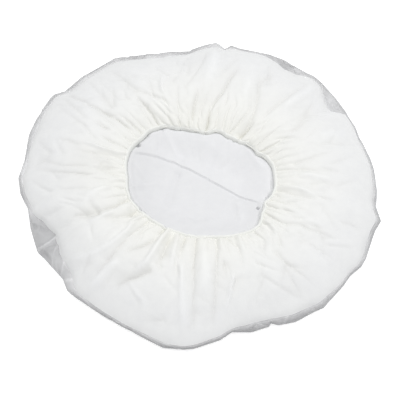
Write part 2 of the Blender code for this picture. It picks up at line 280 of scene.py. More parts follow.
# The long creases: depth, half width, lean from -1 to 1 for the side that is steep, and the path as pairs of
# share of the way out and azimuth
Crease = namedtuple("Crease", "depth width lean path")
CREASES = [Crease(*row) for row in (
    (0.6, 1.8, 0, ((0, 7), (0.2, 4), (0.4, 2), (0.65, 2))),
    (0.8, 2.4, 0.2, ((0.2, 8.5), (0.36, 9.5), (0.55, 11.5))),
    (0.6, 2, 0.2, ((0.55, 17), (0.82, 16))),
    (0.6, 1.6, 0.2, ((0.64, 17), (0.7, 19.5), (0.77, 23.5))),
    (0.9, 1.7, -0.4, ((0, 28.5), (0.12, 27.5), (0.24, 27.5))),
    (1.4, 3, 0.2, ((0.38, 29.4), (0.47, 31), (0.65, 35), (0.8, 39))),
    (1, 3, 0, ((0.3, 48), (0.85, 47.8))),
    (5, 2, 0.4, ((0, 53.3), (0.06, 51.9), (0.13, 50.9))),
    (1.2, 2.4, 0.4, ((0.1, 52.6), (0.2, 53.2), (0.29, 55.1), (0.44, 58.6), (0.57, 61.8), (0.64, 63.2))),
    (1.3, 1.6, 0.2, ((0.64, 62.2), (0.73, 61), (0.84, 61))),
    (0.8, 1.3, -0.3, ((0, 63), (0.1, 60), (0.24, 58.4))),
    (4, 1.6, 0.3, ((0, 85.6), (0.05, 84.2), (0.12, 83.8))),
    (0.7, 1.5, 0, ((0.05, 83.6), (0.27, 83.6))),
    (1.7, 1.6, 0.4, ((0.22, 82.2), (0.27, 80.8), (0.34, 78), (0.45, 76.7), (0.6, 75.2), (0.66, 74.6))),
    (0.7, 1.6, 0.2, ((0.6, 96.3), (0.78, 95))),
    (2.4, 1.9, -0.3, ((0.1, 96.8), (0.2, 94.8), (0.33, 92.2))),
    (0.8, 1.7, 0.2, ((0.42, 98.6), (0.5, 95.7), (0.6, 92.4), (0.7, 90.1), (0.82, 88.8), (0.92, 88.4))),
    (0.5, 1.3, 0.3, ((0.12, 105.6), (0.2, 105), (0.3, 104.2), (0.42, 102.5))),
    (3.4, 0.9, 0, ((0, 107.9), (0.03, 107.7))),
    (1.4, 0.9, 0, ((0, 114.1), (0.03, 113.9))),
    (1.3, 1.8, 0.3, ((0.27, 111.8), (0.29, 114.2), (0.32, 117.4), (0.39, 120.8), (0.44, 122.2))),
    (2.6, 1.8, 0.4, ((0, 122.6), (0.12, 122.8), (0.2, 123.2), (0.3, 124.2))),
    (0.9, 3, 0.4, ((0.42, 122.8), (0.55, 123), (0.84, 123.8))),
    (0.4, 1.6, 0.3, ((0.37, 128.2), (0.45, 132.2), (0.6, 131.6), (0.8, 130.6))),
    (1.8, 1.8, -0.3, ((0, 136.7), (0.12, 137.2), (0.27, 138.2))),
    (0.7, 1.9, -0.3, ((0.46, 137.4), (0.55, 136.3), (0.7, 134.9), (0.88, 132.9))),
    (1.7, 1.6, 0.3, ((0.12, 141), (0.25, 141.3), (0.4, 141.9), (0.6, 142.2), (0.85, 141.4), (0.96, 140.6))),
    (0.7, 1.4, 0, ((0.52, 149.4), (0.7, 146.4), (0.88, 144))),
    (0.5, 1.8, 0.3, ((0.5, 153), (0.58, 152.1), (0.7, 150.2), (0.88, 147.6))),
    (2, 1.6, 0, ((0.29, 149.3), (0.39, 148.8))),
    (0.5, 1.4, 0, ((0, 148.2), (0.12, 148))),
    (1.1, 1.5, 0, ((0.15, 155), (0.24, 155.3))),
    (0.8, 1.8, -0.4, ((0, 162.7), (0.07, 163.9), (0.16, 165.1), (0.27, 166.3), (0.44, 167.3))),
    (0.8, 2, 0.2, ((0.5, 163.9), (0.58, 162.8), (0.7, 162.4))),
    (0.8, 1.8, 0.2, ((0.4, 175.4), (0.6, 175.6), (0.75, 172.9), (0.85, 171.4))),
    (1.6, 2.6, 0, ((0.1, 172.8), (0.16, 174.3), (0.23, 176.3))),
    (1.2, 1.1, 0.3, ((0.36, 180.6), (0.48, 179.8), (0.58, 179.1))),
    (0.8, 1.4, 0.3, ((0.58, 179), (0.72, 177.5), (0.86, 175.2))),
    (0.5, 2.2, 0, ((0.36, 189.4), (0.6, 187.4), (0.7, 186.4))),
    (3, 1.8, -0.5, ((0, 198.3), (0.05, 199.8), (0.16, 202.3), (0.23, 203.9))),
    (2.2, 2.4, -0.3, ((0.22, 203.5), (0.32, 203.7), (0.44, 204.1))),
    (4.4, 2.8, -0.3, ((0.45, 203.6), (0.54, 203.3), (0.63, 202.1), (0.7, 200.9))),
    (2.2, 3.6, 0.5, ((0.04, 212.7), (0.12, 212.7), (0.25, 211.7), (0.38, 209.7))),
    (3.4, 1.9, 0.3, ((0, 210.7), (0.07, 212.3), (0.12, 213.6))),
    (1.4, 1.8, 0.3, ((0, 224.1), (0.08, 225.1), (0.26, 226.7), (0.48, 227.5), (0.6, 227.9), (0.8, 227.8))),
    (0.6, 1.4, 0, ((0.76, 224.1), (0.9, 220.6))),
    (2.6, 2, 0.3, ((0.18, 239.1), (0.27, 236.9), (0.34, 235.1), (0.42, 232.4))),
    (5, 1.2, 0, ((0, 238.8), (0.06, 238.8))),
    (3.8, 1.6, -0.5, ((0.52, 246.2), (0.61, 242.9), (0.68, 239.7), (0.76, 237.7))),
    (2.4, 1.4, -0.3, ((0.08, 247.3), (0.18, 247.7), (0.26, 248))),
    (1.4, 3.6, 0, ((0.05, 248), (0.4, 249))),
    (4, 2, 0, ((0.28, 248.6), (0.33, 248.7))),
    (2.6, 1.6, 0, ((0.415, 247.8), (0.43, 250.6))),
    (1.4, 1.6, 0, ((0.85, 257.3), (0.93, 251.5))),
    (2, 1.8, 0.3, ((0.02, 257.6), (0.2, 257.6))),
    (0.4, 1.6, 0, ((0.36, 257.4), (0.46, 258.5))),
    (1.5, 2, 0.1, ((0, 266), (0.25, 266), (0.35, 266.4))),
    (1.3, 1.6, 0.1, ((0.33, 266), (0.5, 266.9), (0.86, 267.7))),
    (1.2, 2.4, -0.2, ((0, 281.7), (0.2, 279.7), (0.4, 277.7), (0.6, 276.2), (0.9, 273.7))),
    (1.5, 1.5, 0.2, ((0.38, 281.7), (0.5, 281.3))),
    (1.4, 1.4, 0.5, ((0.58, 285.6), (0.68, 283.6))),
    (0.4, 1.8, 0.3, ((0, 295), (0.1, 292.7), (0.3, 291.8), (0.46, 289.8))),
    (0.8, 3.6, -0.3, ((0.6, 296.6), (0.68, 298.6), (0.78, 301.4), (0.86, 303.6), (0.93, 305.6))),
    (0.7, 1.8, 0, ((0.6, 306.5), (0.9, 305.5))),
    (1, 3, 0.3, ((0.38, 307.9), (0.5, 307.9), (0.65, 309.4), (0.8, 311.1))),
    (2.2, 1.8, 0.3, ((0.24, 317.2), (0.28, 314.9), (0.33, 312.4))),
    (1.1, 1.7, -0.4, ((0, 326.9), (0.06, 325.4), (0.14, 324.2), (0.24, 323.7))),
    (1, 1.9, -0.3, ((0.26, 324.6), (0.32, 326), (0.4, 328), (0.48, 327.6), (0.58, 329.6), (0.68, 330.2))),
    (1.7, 1.4, 0, ((0.19, 332.8), (0.24, 332.8))),
    (1, 2.2, 0.3, ((0.74, 338.4), (0.82, 339.8), (0.92, 339.4))),
    (1.6, 0.9, 0, ((0.02, 345.4), (0.08, 342))),
    (1.1, 1.7, 0.3, ((0, 348.7), (0.1, 347.6), (0.21, 345.1), (0.36, 344.9))),
    (0.9, 1.8, 0.3, ((0.46, 346.6), (0.56, 346.6))),
    (0.7, 2.4, 0.2, ((0.6, 353.5), (0.68, 356), (0.78, 358.5))),
)]

# Rounded ridges between the creases: height, half width and path
Ridge = namedtuple("Ridge", "height width path")
RIDGES = [Ridge(*row) for row in (
    (1.2, 4, ((0.6, 21), (0.88, 22))),
    (1.2, 1.6, ((0, 25.2), (0.14, 24.7))),
    (1.2, 3, ((0.02, 41.6), (0.2, 38.6))),
    (1.3, 3, ((0.5, 44.5), (0.9, 45.5))),
    (1.4, 4, ((0.4, 66), (0.62, 67))),
    (1.8, 4, ((0.5, 86), (0.92, 84))),
    (1.8, 1.5, ((0.4, 111), (0.5, 109.4), (0.57, 107.2), (0.61, 103), (0.62, 98))),
    (1.2, 1.4, ((0.24, 120.4), (0.27, 117.8))),
    (1.5, 1.6, ((0.02, 158.4), (0.1, 161), (0.25, 162.5), (0.4, 161.8))),
    (1.5, 1.5, ((0.2, 169.4), (0.25, 171.6), (0.28, 174.9))),
    (1.8, 2, ((0.04, 181.7), (0.14, 183.7))),
    (1.5, 2.6, ((0.2, 189.7), (0.35, 192.2), (0.56, 196.9))),
    (1.8, 2.6, ((0.04, 204.2), (0.16, 207.2))),
    (1.5, 1.6, ((0.3, 207.4), (0.6, 207.5))),
    (2.6, 2.4, ((0, 217.4), (0.1, 218.9), (0.19, 220.4), (0.3, 223.1))),
    (1.5, 1.8, ((0.3, 223.3), (0.5, 223.8), (0.66, 221.6), (0.81, 219.4), (0.92, 216.8))),
    (2, 2.6, ((0.6, 231), (0.95, 229.5))),
    (3.6, 2.2, ((0, 242.7), (0.2, 242.9), (0.38, 243.5), (0.46, 243.3), (0.54, 241.5))),
    (1.4, 1.4, ((0.7, 241.3), (0.74, 244.8), (0.79, 249.8))),
    (2.2, 2.6, ((0.04, 252.4), (0.2, 253.6), (0.36, 255.3))),
    (1.6, 2.6, ((0.04, 261.3), (0.22, 261.3))),
    (1.8, 2.2, ((0.36, 260.4), (0.6, 262.4), (0.85, 264.2))),
    (2, 4.4, ((0, 271), (0.6, 272))),
    (1.4, 2, ((0.03, 284.7), (0.16, 283.5))),
    (2, 1.3, ((0.56, 284.3), (0.65, 282.3), (0.8, 279.5))),
    (1.4, 2.2, ((0.04, 297.2), (0.25, 294.7))),
    (1.6, 2, ((0.06, 320.6), (0.2, 317.6), (0.26, 315.6))),
    (1.4, 2.6, ((0.4, 332), (0.52, 333))),
    (1.8, 2.2, ((0.06, 352.2), (0.15, 351.2), (0.27, 349), (0.36, 347.7))),
    (1.6, 2.6, ((0.26, 359.2), (0.34, 359), (0.5, 357.2))),
)]

# How creases and ridges fade in and out round the ends of their paths, in shares of the way out
FADE_IN = (-0.06, 0.03)
FADE_OUT = (-0.12, 0.10)

# Two kinds of small creases, with the ranges that their sizes are drawn from
Small = namedtuple("Small", "seed count depth width reach drift lean")

# Short gathers all round the hem, with room between them and the long creases, shallower at the far right
GATHERS = Small(11, 70, (0.25, 0.9), (0.8, 1.4), (0.10, 0.34), (-4.0, 4.0), (-0.5, 0.5))
GATHER_ROOM = 2.6
SHALLOW_DEG = 25.0
SHALLOW_PART = 0.65

# Crumples anywhere on the cloth, but for one stretch where the long creases are enough
CRUMPLES = Small(23, 120, (0.3, 1.0), (1.0, 2.6), (0.06, 0.22), (-8.0, 8.0), (-0.6, 0.6))
CRUMPLE_START = (0.1, 0.8)
NO_CRUMPLES = (188.0, 209.0)

# Across a crease: a broad rounded slope on both sides, which has this part of the depth, and a narrow slot
# along its bottom, both as multiples of the crease's half width. Creases and ridges are wider at the rim by
# these shares
CREASE_SCALE = 1.35
BROAD_PART = 0.62
BROAD_SIDE = 2.2
SLOT_SIDE = 0.7
CREASE_WIDENS = 0.9
RIDGE_WIDENS = 0.6

# Edges of the liner's mesh that are sharper than this, in degrees, look sharp
SHARP_ANGLE = 38.0

# How shaded the annulus is, from 0 to 1: flat cloth, each mm above the cloth round it, each mm of a crease's
# slope and slot, the creases' part in the whole, and a place at the left
SHADE_FLAT = 0.3
SHADE_RELIEF = -0.25
SHADE_BROAD = 0.07
SHADE_SLOT = 0.11
SHADE_CREASES = 0.75
SHADE_LEFT = Place(172.0, 10.0, 0.4)

# How shaded the crown is: everywhere, to the left in two steps, on the near side of its fold, for each mm
# of its soft relief, and along the near hem
CROWN_SHADE_FLAT = 0.15
CROWN_SHADE_LEFT = (Step(0.3, 20.0, 38.0), Step(0.7, 38.0, 58.0))
CROWN_SHADE_FOLD = 0.25
CROWN_SHADE_RELIEF = -0.14
CROWN_SHADE_NEAR = Step(0.5, -20.0, -1.0)

# Colours of the nonwoven: the annulus from the hem outwards, the crown and the hem, and full shade on each.
# The crown's darker grey, on the same cloth, is painted shade inside the opening
WARM = (0.856, 0.857, 0.823)
MILD = (0.835, 0.840, 0.828)
COOL = (0.813, 0.821, 0.828)
SHADED_CROWN_GREY = (0.740, 0.744, 0.756)
PALE = (0.795, 0.803, 0.778)
CLOTH_SHADED = (0.898, 0.892, 0.877)
CROWN_SHADED = (0.92, 0.92, 0.92)

# The fold across the crown, in the frame
Spot = namedtuple("Spot", "x y")
CROWN_FOLD = (
    Spot(-60.0, 28.8), Spot(-42.2, 28.9), Spot(-33.9, 28.4), Spot(-19.8, 24.0), Spot(-5.3, 16.0),
    Spot(19.6, -0.5), Spot(29.9, -7.3), Spot(39.2, -14.6), Spot(50.3, -21.6),
)

# Soft ridges and hollows of the crown, in the frame. The last two are the small pits by the fold's ends
Soft = namedtuple("Soft", "x y end_x end_y height width")
CROWN_SOFT = [Soft(*row) for row in (
    (-12, 24, -16.6, 12, -1.2, 2.2),
    (-16.6, 12, -22.6, -20, -1.4, 3),
    (-26, 8, -30, -14, 1.2, 4),
    (-56, -9, -33, 2, 1.8, 3.2),
    (-54, 22, -43, 4, -1.8, 4.5),
    (-31, 52, -33, 34, -1.1, 2.4),
    (-26, 48, -17, 28, 1.1, 2.8),
    (-12, -32, 6, -34, -1.5, 4.5),
    (44, 30, 53, 15, 1.3, 2.8),
    (34, -20, 36, -36, 1.3, 3.6),
    (6, 42, 20, 30, 0.9, 5),
    (-51, 37.2, -50.2, 36.4, -11, 1.1),
    (50.2, -27.4, 50.3, -27.8, -12, 0.6),
)]

# Camera of the photograph: degrees above the floor, lens, and distance and target in metres
CAMERA_ELEVATION = 56.0
CAMERA_LENS = 120.0
CAMERA_DISTANCE = 1.111
CAMERA_TARGET = Vector((0.0023, -0.0157, 0.0090))

# The floor and the light, in metres and watts
FLOOR_HALF = 8.0
KEY_PLACE = Vector((0.08, 0.06, 0.9))
KEY_SIZE = 1.4
KEY_POWER = 8.0
SURROUND = 0.50

azimuth = np.linspace(0.0, 360.0, COLUMNS, endpoint=False)


def read_round(table):
    """A table of lengths by azimuth, read at every column of the mesh."""
    return np.interp(azimuth, [row.deg for row in table], [row.mm for row in table], period=360)


def soften(values, degrees):
    """Blurs values that go round the cap, over about this many degrees."""
    spread = degrees / 360.0
    turns = np.fft.rfftfreq(COLUMNS, 1.0 / COLUMNS)
    keep = np.exp(-2.0 * (math.pi * spread * turns) ** 2)
    return np.fft.irfft(np.fft.rfft(values) * keep, COLUMNS)


def rim_reach():
    """The rim's reach at each column: straight edges between its corners."""
    corner_deg = np.array([corner.deg for corner in RIM], float)
    corner_reach = np.array([corner.mm for corner in RIM])
    after = np.searchsorted(corner_deg, azimuth, side="right") % len(RIM)
    before = after - 1
    gap = np.radians((corner_deg[after] - corner_deg[before]) % 360)
    part = np.radians((azimuth - corner_deg[before]) % 360)
    near, far = corner_reach[before], corner_reach[after]
    return near * far * np.sin(gap) / (near * np.sin(part) + far * np.sin(gap - part))


def smooth_step(value, start, end):
    """From 0 at the start to 1 at the end, level at both."""
    part = np.clip((value - start) / (end - start), 0.0, 1.0)
    return part * part * (3.0 - 2.0 * part)


def fade(value, start, end):
    """From 1 at the start to 0 at the end, level at both."""
    return 1.0 - smooth_step(value, start, end)


def grown(value, step):
    """From 0 at a step's start to its amount at its end."""
    return step.amount * smooth_step(value, step.start, step.end)


def between(angle, other):
    """How far one azimuth is round from another, from -180 to 180 degrees."""
    return (angle - other + 180.0) % 360.0 - 180.0


def near_place(place):
    """How much there is of something at each column, most of it at one place."""
    return place.amount * np.exp(-((between(azimuth, place.deg) / place.half) ** 2))


def along(stretch):
    """How much there is of something at each column, along one stretch."""
    rise = smooth_step(azimuth, stretch.start, stretch.full)
    return stretch.amount * rise * fade(azimuth, stretch.fade, stretch.end)


def turned(reach, degrees, height):
    """Points in mm from polar ones, as an array with x, y and z last."""
    angle = np.radians(degrees)
    x, y = reach * np.cos(angle), reach * np.sin(angle)
    return np.stack(np.broadcast_arrays(x, y, height), axis=-1)


def grid_normals(points):
    """Outward normals of a grid of rows that go round."""
    across = np.roll(points, -1, axis=1) - np.roll(points, 1, axis=1)
    outwards = np.gradient(points, axis=0)
    normals = np.cross(outwards, across)
    normals /= np.linalg.norm(normals, axis=-1, keepdims=True) + 1e-12
    return -normals if normals[len(points) // 2, :, 2].mean() < 0 else normals


def beside(share, reach, path):
    """How far each point of the annulus is beside a path, and how much of the path there is at it."""
    shares = [place[0] for place in path]
    degrees = [place[1] for place in path]
    order = np.argsort(shares)
    middle = np.interp(share, np.array(shares)[order], np.array(degrees)[order])
    slant = np.radians(np.gradient(middle, share[:, 0], axis=0)) * reach / ANNULUS_WIDTH
    aside = np.radians(between(azimuth, middle)) * reach / np.sqrt(1.0 + slant**2)
    first, last = min(shares), max(shares)
    begun = smooth_step(share, first + FADE_IN[0], first + FADE_IN[1])
    ended = smooth_step(share, last + FADE_OUT[0], last + FADE_OUT[1])
    return aside, begun * (1.0 - ended)


def ridge_lift(share, reach, ridge):
    """How far a rounded ridge lifts the annulus at each point."""
    aside, ends = beside(share, reach, ridge.path)
    return ridge.height * ends * np.exp(-((aside / (ridge.width * (1.0 + RIDGE_WIDENS * share))) ** 2))


def crease_parts(share, reach, crease):
    """The broad slopes and the narrow slot of a crease, each from 0 to 1 at every point of the annulus."""
    aside, ends = beside(share, reach, crease.path)
    widen = 1.0 + CREASE_WIDENS * share
    width = crease.width * widen * (1.0 + crease.lean * np.tanh(aside / crease.width))
    broad = np.exp(-np.abs(aside / width) / BROAD_SIDE)
    slot = np.exp(-np.abs(aside / crease.width) / SLOT_SIDE)
    return ends * broad, ends * slot


def valley(share, reach, crease):
    """How far a crease lowers the annulus at each point, as a negative lift."""
    broad, slot = crease_parts(share, reach, crease)
    return -CREASE_SCALE * crease.depth * (BROAD_PART * broad + (1.0 - BROAD_PART) * slot)


def crease_shade():
    """How shaded the annulus is by its creases and gathers, from 0 to 1."""
    share = annulus_shares()[:, None]
    reach = lip_reach + share * (liner_reach - lip_reach)
    shade = 0.0
    for crease in creases:
        broad, slot = crease_parts(share, reach, crease)
        shade = shade + crease.depth * (SHADE_BROAD * broad + SHADE_SLOT * slot)
    return np.clip(shade, 0.0, 1.0) * fade(share, 0.9, 1.0)


def cloth_shade(points):
    """How shaded the annulus is, from 0 to 1: light on its ridges, dark in its hollows and creases."""
    share = annulus_shares()[:, None]
    relief = points[..., 2] - soften(points[..., 2], 6.0)
    relief = relief * fade(share, 0.88, 1.0) * (0.3 + 0.7 * smooth_step(share, 0.05, 0.4))
    left = near_place(SHADE_LEFT) * smooth_step(share, 0.03, 0.2) * fade(share, 0.4, 0.7)
    shade = SHADE_FLAT + SHADE_RELIEF * relief + SHADE_CREASES * crease_shade() + left
    return np.clip(shade, 0.0, 1.0)


def crown_shade(points):
    """How shaded the crown is, from 0 to 1.2: by the hem at its left and near side, and below its fold."""
    x, y = points[..., 0], points[..., 1]
    beyond = np.hypot(x, y) - hem_inner
    left = sum(grown(-x, step) for step in CROWN_SHADE_LEFT)
    below = CROWN_SHADE_FOLD * fade(beside_fold(x, y)[0], -3.0, 1.0)
    soft = CROWN_SHADE_RELIEF * np.clip(soft_lift(x, y), -2.0, 2.0)
    near = grown(beyond, CROWN_SHADE_NEAR) * near_half
    return np.clip(CROWN_SHADE_FLAT + left + below + soft + near, 0.0, 1.2)


def short_gathers():
    """The short gathers at the hem, spaced unevenly, where no long crease starts."""
    draw = np.random.default_rng(GATHERS.seed)
    step = 360.0 / GATHERS.count
    made = []
    taken = np.array([crease.path[0][1] for crease in CREASES if crease.path[0][0] < 0.09])
    for index in range(GATHERS.count):
        start = index * step + draw.uniform(-0.3, 0.3) * step
        drift = draw.uniform(*GATHERS.drift)
        end = draw.uniform(*GATHERS.reach)
        shallow = SHALLOW_PART * max(0.0, math.cos(math.radians(start - SHALLOW_DEG)))
        depth = draw.uniform(*GATHERS.depth) * (1.0 - shallow)
        width = draw.uniform(*GATHERS.width)
        lean = draw.uniform(*GATHERS.lean)
        if np.abs(between(taken, start)).min() > GATHER_ROOM:
            made.append(Crease(depth, width, lean, ((0.0, start), (end, start + drift))))
    return made


def crumples():
    """Short shallow creases that run outwards or slant across."""
    draw = np.random.default_rng(CRUMPLES.seed)
    made = []
    for _ in range(CRUMPLES.count):
        near = draw.uniform(*CRUMPLE_START)
        start = draw.uniform(0.0, 360.0)
        far = near + draw.uniform(*CRUMPLES.reach)
        drift = draw.uniform(*CRUMPLES.drift)
        depth = draw.uniform(*CRUMPLES.depth)
        width = draw.uniform(*CRUMPLES.width)
        lean = draw.uniform(*CRUMPLES.lean)
        if not NO_CRUMPLES[0] < start < NO_CRUMPLES[1]:
            made.append(Crease(depth, width, lean, ((near, start), (far, start + drift))))
    return made


def slow_waves(share, waves):
    """Slow unevenness of the cloth."""
    draw = np.random.default_rng(waves.seed)
    lift = 0.0
    for _ in range(waves.count):
        turns = draw.integers(2, 15)
        rise = draw.uniform(1.0, 5.0)
        phase = draw.uniform(0, 6.28)
        lift = lift + np.cos(np.radians(turns * azimuth) + rise * share * 3.0 + phase) / math.sqrt(turns)
    return waves.height * lift / math.sqrt(waves.count)


# The outlines seen from above, at each column
film_reach = rim_reach()
liner_reach = soften(film_reach, 1.2) - soften(read_round(SETBACK), 0.35)
hem_inner = soften(read_round(HEM), 0.9)

# 1 at the far side and -1 at the near side, and each half by itself
far_side = np.sin(np.radians(azimuth))
far_half = np.clip(far_side, 0.0, 1.0)
near_half = np.clip(-far_side, 0.0, 1.0)

lip_reach = hem_inner + LIP_OUT + LIP_OUT_FAR * far_side
lip_height = LIP_HEIGHT + LIP_HEIGHT_FAR * far_side

# The long creases and the short gathers, and these with the crumples
creases = CREASES + short_gathers()
all_creases = creases + crumples()


def puff_height(share):
    """Height of the annulus without its folds, from the hem's lip over the puff to the liner's edge."""
    inner = np.clip(share / PUFF_TOP_SHARE, 0.0, 1.0)
    outer = np.clip((share - PUFF_TOP_SHARE) / (1.0 - PUFF_TOP_SHARE), 0.0, 1.0)
    rise = lip_height + (PUFF_TOP - lip_height) * np.sin(inner * math.pi / 2) ** PUFF_RISE_POWER
    level, steep = PUFF_FALL_POWERS
    drop = np.cos(outer**level * math.pi / 2) ** steep
    fall = LINER_EDGE_HEIGHT + (PUFF_TOP - LINER_EDGE_HEIGHT) * drop
    return np.where(share < PUFF_TOP_SHARE, rise, fall)


def annulus_shares():
    """How far out each row of the annulus is, as a share: closer together near the hem."""
    return np.linspace(0.0, 1.0, ANNULUS_ROWS) ** ROW_SPACING


def tucked_points(lip):
    """The gathered edge inside the hem, pleated back and forth, up to the first row of the annulus."""
    part = np.linspace(0.0, 1.0, TUCK_ROWS + 1)[:-1, None]
    pleats = PLEAT_DEPTH * np.sin(np.radians(PLEATS * azimuth)) * (1.0 - part)
    inside = turned(hem_inner + HEM_HALF_WIDTH, azimuth, HEM_MIDDLE_HEIGHT + pleats)
    return inside + (lip - inside) * part[..., None]


def annulus_points():
    """The liner from the hem's lip to its own edge, with its creases and gathers, settled as cloth."""
    share = annulus_shares()[:, None]
    reach = lip_reach + share * (liner_reach - lip_reach)
    base = turned(reach, azimuth, puff_height(share))
    lift = sum(valley(share, reach, crease) for crease in all_creases)
    lift = lift + sum(ridge_lift(share, reach, ridge) for ridge in RIDGES)
    lift = lift + slow_waves(share, PUFF_WAVES) * smooth_step(share, *WAVES_BEGIN)
    lift = lift * fade(share, *RIM_FADE)
    lift = lift - HEM_HOLDS * lift * fade(share, *HEM_LEFT)
    folded = base + grid_normals(base) * lift[..., None]
    return settle(folded, base, share)


def draw_to(first, second, rest, firmness, loose_first, loose_second):
    """How far the two ends of each thread move to bring it back towards its own length."""
    gap = second - first
    length = np.sqrt((gap**2).sum(axis=-1))
    pull = firmness * (1.0 - rest / length) / np.maximum(loose_first + loose_second, 1e-9)
    return gap * (pull * loose_first)[..., None], gap * (-pull * loose_second)[..., None]


def settle(points, smooth, share):
    """Cloth between hem and rim: threads that keep their length, round the cap, outwards and slantwise.

    Round the hem the cloth is wider than the hem leaves room for, so it buckles into folds. It starts from
    its creases and gathers, and they deepen, widen and join as it comes to rest.
    """
    places = points.copy()
    loose = np.ones(points.shape[:2])
    loose[:1] = 0.0
    loose[-2:] = 0.0
    fullness = 1.0 + np.interp(share, FULLNESS_SHARES, FULLNESS)
    round_rest = np.linalg.norm(np.roll(smooth, -1, axis=1) - smooth, axis=-1) * fullness
    out_rest = np.linalg.norm(np.diff(smooth, axis=0), axis=-1) * LENGTH_FULLNESS
    slant_rest = np.sqrt(round_rest[:-1] ** 2 + out_rest**2)
    for _ in range(CLOTH_STEPS):
        for start in (0, 1):
            first = places[:, start::2]
            second = np.roll(places, -1, axis=1)[:, start::2]
            free = loose[:, start::2]
            near, far = draw_to(first, second, round_rest[:, start::2], CLOTH_FIRMNESS, free, free)
            places[:, start::2] += near
            places[:, (start + 1) % 2 :: 2] += np.roll(far, start, axis=1)
        for start in (0, 1):
            first, second = places[start:-1:2], places[start + 1 :: 2]
            count = len(second)
            rest = out_rest[start::2][:count]
            free_first, free_second = loose[start:-1:2][:count], loose[start + 1 :: 2]
            near, far = draw_to(first[:count], second, rest, CLOTH_FIRMNESS, free_first, free_second)
            places[start:-1:2][:count] += near
            places[start + 1 :: 2] += far
        for turn in (1, -1):
            first, second = places[:-1], np.roll(places[1:], -turn, axis=1)
            near, far = draw_to(first, second, slant_rest, CLOTH_SHEAR, loose[:-1], loose[1:])
            places[:-1] += near
            places[1:] += np.roll(far, turn, axis=1)
        moved = places - points
        stiff = sum(firmness * stiffness(moved, stride) for stride, firmness in CLOTH_STIFFNESS)
        stiff *= (1.0 - CLOTH_LIMPER * share)[..., None]
        stiff[1:-1] += CLOTH_LENGTH_STIFFNESS * lengthways(moved)
        places -= loose[..., None] * stiff
        places += loose[..., None] * (CLOTH_HOLD * (points - places) + CLOTH_PUFF * grid_normals(places))
    moved = places - points
    far = np.linalg.norm(moved, axis=-1, keepdims=True)
    return points + moved * np.minimum(1.0, CLOTH_MOST / np.maximum(far, 1e-9))


def stiffness(values, stride):
    """How far each point is from where a smooth curve round the cap would put it."""
    curl = (np.roll(values, stride, axis=1) + np.roll(values, -stride, axis=1)) / 2.0 - values
    return (np.roll(curl, stride, axis=1) + np.roll(curl, -stride, axis=1)) / 2.0 - curl


def lengthways(values):
    """How far each point is from the middle of its neighbours further in and further out."""
    return values[1:-1] - (values[2:] + values[:-2]) / 2.0


def turn_points(reach, height, low, inward, rows):
    """From an edge under to the flat of the crown, as a quarter of an oval."""
    angle = np.linspace(0.0, math.pi / 2, rows + 1)[1:, None]
    radius = reach - inward * (1.0 - np.cos(angle))
    return turned(radius, azimuth, height - (height - low) * np.sin(angle))


def crown_height(points):
    """Height of the liner's crown: flat under the annulus, puffed up inside the hem, with a fold across."""
    x, y = points[..., 0], points[..., 1]
    reach = np.hypot(x, y)
    beyond = reach - soften(hem_inner, 1.5)
    rise = (CROWN_MIDDLE - CROWN_REST) * fade(reach / hem_inner, *CROWN_SPREAD)
    dents = CROWN_BEAD_DEPTH * np.clip(crisp(CROWN_BEADS)[0], 0.0, 1.0)
    groove = dents + near_place(GROOVE) * (1.0 - near_place(GROOVE_BREAK))
    close = near_place(CLOSE_LEFT) + near_place(CLOSE_BREAK) + CLOSE_FAR * far_half
    ring = grown(beyond, RING_RISE)
    ring = ring - groove * smooth_step(beyond, *GROOVE_SIDE) + close * smooth_step(beyond, *CLOSE_SIDE)
    ring = ring * (1.0 - grown(beyond, RING_DROP) - grown(beyond, RING_LAST_DROP))
    return CROWN_REST + rise + ring + fold_lift(x, y) + soft_lift(x, y)


def beside_fold(x, y):
    """How far each point is on the far side of the crown's fold, and how much of the fold there is at it."""
    xs = np.array([spot.x for spot in CROWN_FOLD]) - POLE.x / MM
    ys = np.array([spot.y for spot in CROWN_FOLD]) - POLE.y / MM
    line = np.interp(x, xs, ys)
    slope = np.interp(x, (xs[1:] + xs[:-1]) / 2, np.diff(ys) / np.diff(xs))
    aside = (y - line) / np.sqrt(1.0 + slope**2)
    return aside, smooth_step(x, *FOLD_START) * fade(x, *FOLD_END)


def fold_lift(x, y):
    """The fold across the crown: the far side ends in a rounded lip, and the near side is a little lower."""
    aside, ends = beside_fold(x, y)
    above = smooth_step(aside, *FOLD_STEP)
    lip = FOLD_DEPTH * np.exp(-np.maximum(aside, 0.0) / FOLD_LIP_SIDE)
    trough = FOLD_TROUGH * FOLD_DEPTH * np.exp(np.minimum(aside, 0.0) / FOLD_TROUGH_SIDE)
    return ends * (lip * above - trough * (1.0 - above))


def soft_lift(x, y):
    """The soft ridges and hollows of the crown."""
    lift = 0.0
    for soft in CROWN_SOFT:
        along_x, along_y = soft.end_x - soft.x, soft.end_y - soft.y
        from_x, from_y = x - soft.x + POLE.x / MM, y - soft.y + POLE.y / MM
        part = np.clip((from_x * along_x + from_y * along_y) / (along_x**2 + along_y**2), 0.0, 1.0)
        away = np.hypot(from_x - part * along_x, from_y - part * along_y)
        lift = lift + soft.height * np.exp(-((away / soft.width) ** 1.5))
    return lift


def liner_points():
    """All rows of the liner: its edge in the hem, the annulus, the turn at the rim and the crown."""
    top = annulus_points()
    turn = turn_points(liner_reach, LINER_EDGE_HEIGHT, CROWN_REST, LINER_TURN, TURN_ROWS)
    hidden = np.linspace(1.0, 0.0, CROWN_ROWS_HIDDEN + 1)[1:, None]
    start = liner_reach - LINER_TURN
    outer = turned(CROWN_SEEN_RADIUS + hidden * (start - CROWN_SEEN_RADIUS), azimuth, CROWN_REST)
    seen = np.linspace(1.0, 0.004, CROWN_ROWS_SEEN + 1)[1:, None]
    inner = turned(CROWN_SEEN_RADIUS * seen, azimuth, CROWN_REST)
    crown = np.concatenate([outer, inner])
    crown[..., 2] = crown_height(crown)
    return np.concatenate([tucked_points(top[0]), top, turn, crown])


